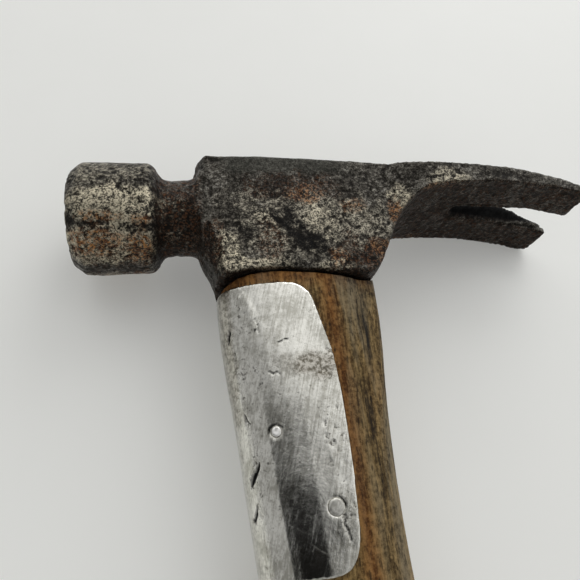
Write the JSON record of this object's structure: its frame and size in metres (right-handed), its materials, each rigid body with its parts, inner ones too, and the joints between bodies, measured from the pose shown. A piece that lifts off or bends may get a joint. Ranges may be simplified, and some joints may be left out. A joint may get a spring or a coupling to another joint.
{
  "type": "framing hammer",
  "caption": "Framing hammer with a forged rip-claw head, a curved hickory handle wedged in the eye and a steel overstrike guard.",
  "frame": {"origin": "centre of the striking face, on the poll's axis", "axes": "+X from the striking face to the claw, +Y from the butt of the handle to the top of the head, +Z out of the cheek; the hammer lies on its side"},
  "size_m": [0.1536, 0.4078, 0.0364],
  "materials": {
    "head_steel": "forged steel, dark and pitted, with bare bright patches and orange rust",
    "hickory": "weathered bare hickory with grey and black streaks along the grain",
    "wedge_wood": "bare hardwood, end grain upwards",
    "wedge_steel": "dull rusted steel",
    "guard_steel": "bright worn steel sheet with fine scratches and small pits",
    "fastener_steel": "dressed flush and scratched"
  },
  "bodies": {
    "root": {"hammer_head": "head_steel", "handle": "hickory", "eye_wedge": "wedge_wood", "steel_wedge_front": "wedge_steel", "steel_wedge_rear": "wedge_steel", "overstrike_guard": "guard_steel", "guard_rivet": "fastener_steel", "guard_brad_left": "fastener_steel", "guard_brad_right": "fastener_steel"}
  },
  "joints": []
}
